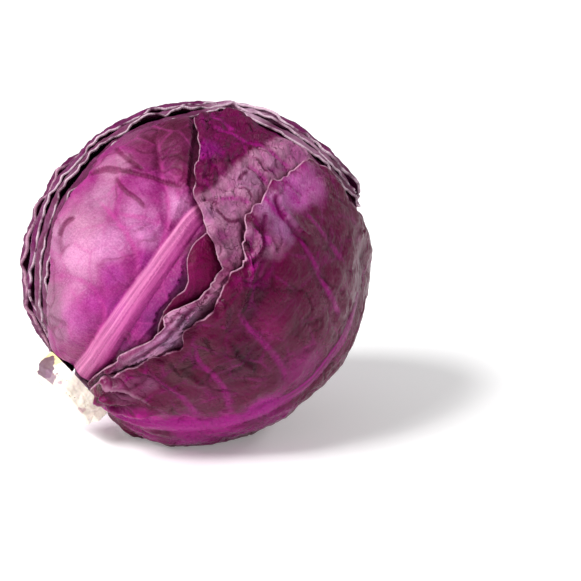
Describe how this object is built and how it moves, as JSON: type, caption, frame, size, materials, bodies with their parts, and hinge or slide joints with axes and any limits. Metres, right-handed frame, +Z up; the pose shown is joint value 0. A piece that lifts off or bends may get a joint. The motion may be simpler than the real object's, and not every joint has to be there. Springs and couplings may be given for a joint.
{
  "type": "red cabbage head",
  "caption": "Whole red cabbage head on its side: overlapping waved purple leaves with ribs and veins round a firm heart, with a cut pale stalk.",
  "frame": {"origin": "centre of the flat spot that the head rests on", "axes": "+Z up; -Y towards the viewer of the picture, X to the right; the cut stalk points left, down and a little to the front"},
  "size_m": [0.1642, 0.1666, 0.1616],
  "materials": {
    "inner_leaves": "crisp magenta leaf, satin",
    "magenta_leaf": "crisp magenta leaf with pale pink rib and veins, satin",
    "purple_leaf": "purple leaf with a thin grey waxy bloom, satin",
    "dark_leaf": "dark wine leaf with magenta veins, glossy",
    "pith": "freshly cut cream pith, matt"
  },
  "bodies": {
    "root": {"heart": "inner_leaves", "leaf_front": "magenta_leaf", "leaf_lobe": "dark_leaf", "leaf_upper": "purple_leaf", "leaf_side_1": "purple_leaf", "leaf_back": "purple_leaf", "leaf_side_2": "purple_leaf", "leaf_side_3": "purple_leaf", "leaf_outer": "dark_leaf", "leaf_lower": "dark_leaf", "stalk": "pith"}
  },
  "joints": []
}
